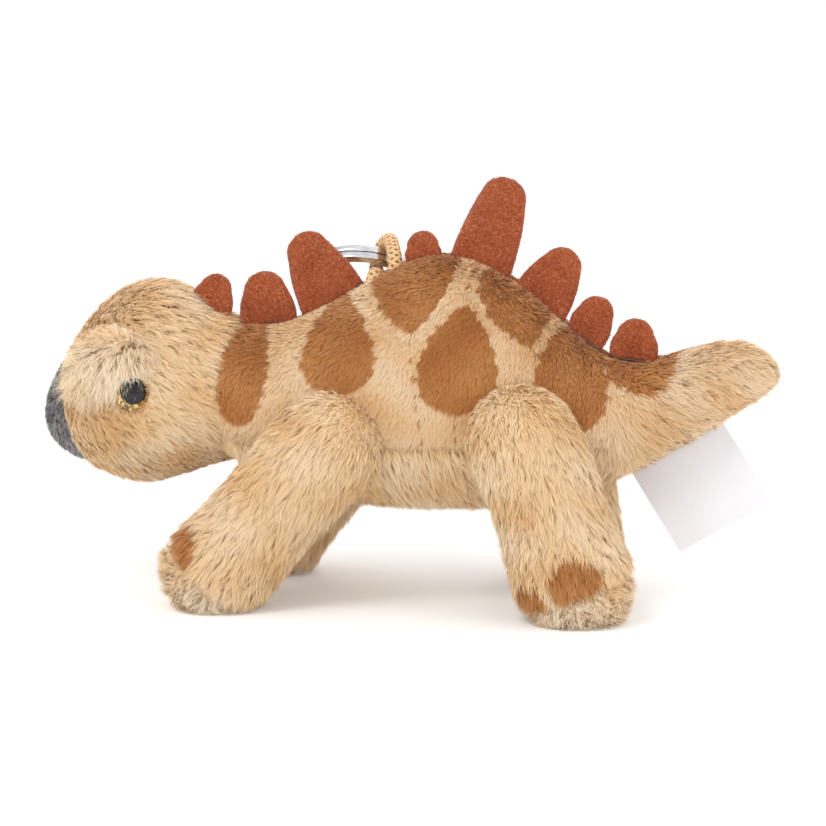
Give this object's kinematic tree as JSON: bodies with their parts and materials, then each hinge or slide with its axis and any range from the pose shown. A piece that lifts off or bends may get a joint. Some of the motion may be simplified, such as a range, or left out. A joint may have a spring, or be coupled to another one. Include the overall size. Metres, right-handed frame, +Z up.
{
  "type": "plush keychain",
  "caption": "Small stuffed plush dinosaur standing on its soles, with felt back plates and a split key ring on a braided cord loop in its back seam.",
  "frame": {"origin": "centre of the bounding box, on the plane of the four soles", "axes": "+Z up, +X from the nose to the tail tip, -Y the animal's left side"},
  "size_m": [0.1386, 0.051, 0.0798],
  "materials": {
    "printed_plush": "short-pile plush, cream with printed brown spots",
    "sand_plush": "long-pile sand-coloured plush",
    "grey_plush": "short-pile grey plush",
    "rust_felt": "speckled rust-coloured felt",
    "fibrefill": "loose polyester fibre",
    "eye_plastic": "glossy, gold glitter with a black pupil",
    "nylon": "plain white moulded nylon",
    "braided_cord": "peach braided cord",
    "stitching": "bar-tacked thread",
    "label_satin": "white woven satin",
    "ring_steel": "bright nickel-plated steel"
  },
  "bodies": {
    "torso": {"side_panel_left": "printed_plush", "side_panel_right": "printed_plush", "belly_panel": "sand_plush", "torso_stuffing": "fibrefill", "plate_2": "rust_felt", "plate_3": "rust_felt", "plate_4": "rust_felt", "plate_5": "rust_felt", "plate_6": "rust_felt", "plate_7": "rust_felt", "loop_anchor": "stitching", "cord_loop": "braided_cord"},
    "head": {"head_cover_left": "sand_plush", "head_cover_right": "sand_plush", "muzzle_patch": "grey_plush", "head_stuffing": "fibrefill", "brow_left": "sand_plush", "brow_right": "sand_plush", "eye_left": "eye_plastic", "eye_right": "eye_plastic", "eye_washer_left": "nylon", "eye_washer_right": "nylon", "plate_1": "rust_felt"},
    "tail": {"tail_cover_left": "sand_plush", "tail_cover_right": "sand_plush", "tail_stuffing": "fibrefill", "plate_8": "rust_felt"},
    "label": {"care_label": "label_satin"},
    "key_ring": {"split_ring": "ring_steel"},
    "front_leg_left": {"front_leg_cover_left": "sand_plush", "front_leg_stuffing_left": "fibrefill", "front_sole_left": "sand_plush"},
    "front_leg_right": {"front_leg_cover_right": "sand_plush", "front_leg_stuffing_right": "fibrefill", "front_sole_right": "sand_plush"},
    "hind_leg_left": {"hind_leg_cover_left": "sand_plush", "hind_leg_stuffing_left": "fibrefill", "hind_sole_left": "sand_plush"},
    "hind_leg_right": {"hind_leg_cover_right": "sand_plush", "hind_leg_stuffing_right": "fibrefill", "hind_sole_right": "sand_plush"}
  },
  "joints": [
    {"name": "neck_nod", "type": "hinge", "parent": "torso", "child": "head", "pos_m": [-0.02, 0, 0.0375], "axis": [0, 1, 0], "range_deg": [-12, 5], "stiffness_Nm_per_rad": 0.5},
    {"name": "tail_wag", "type": "hinge", "parent": "torso", "child": "tail", "pos_m": [0.043, 0, 0.0369], "axis": [0, 0, 1], "range_deg": [-15, 15], "stiffness_Nm_per_rad": 0.2},
    {"name": "label_flap", "type": "hinge", "parent": "tail", "child": "label", "pos_m": [0.043, 0, 0.0256], "axis": [0.848, 0, 0.5299], "range_deg": [-25, 25], "stiffness_Nm_per_rad": 0.002},
    {"name": "ring_swing", "type": "hinge", "parent": "torso", "child": "key_ring", "pos_m": [-0.00531, 0.00748, 0.0635], "axis": [0.8183, 0.4782, -0.3191], "range_deg": [0, 110]},
    {"name": "front_leg_left_bend", "type": "hinge", "parent": "torso", "child": "front_leg_left", "pos_m": [-0.01, -0.017, 0.032], "axis": [0, 1, 0], "range_deg": [-15, 15], "stiffness_Nm_per_rad": 0.5},
    {"name": "front_leg_right_bend", "type": "hinge", "parent": "torso", "child": "front_leg_right", "pos_m": [-0.01, 0.017, 0.032], "axis": [0, 1, 0], "range_deg": [-15, 15], "stiffness_Nm_per_rad": 0.5},
    {"name": "hind_leg_left_bend", "type": "hinge", "parent": "torso", "child": "hind_leg_left", "pos_m": [0.025, -0.017, 0.034], "axis": [0, 1, 0], "range_deg": [-15, 15], "stiffness_Nm_per_rad": 0.5},
    {"name": "hind_leg_right_bend", "type": "hinge", "parent": "torso", "child": "hind_leg_right", "pos_m": [0.025, 0.017, 0.034], "axis": [0, 1, 0], "range_deg": [-15, 15], "stiffness_Nm_per_rad": 0.5}
  ]
}
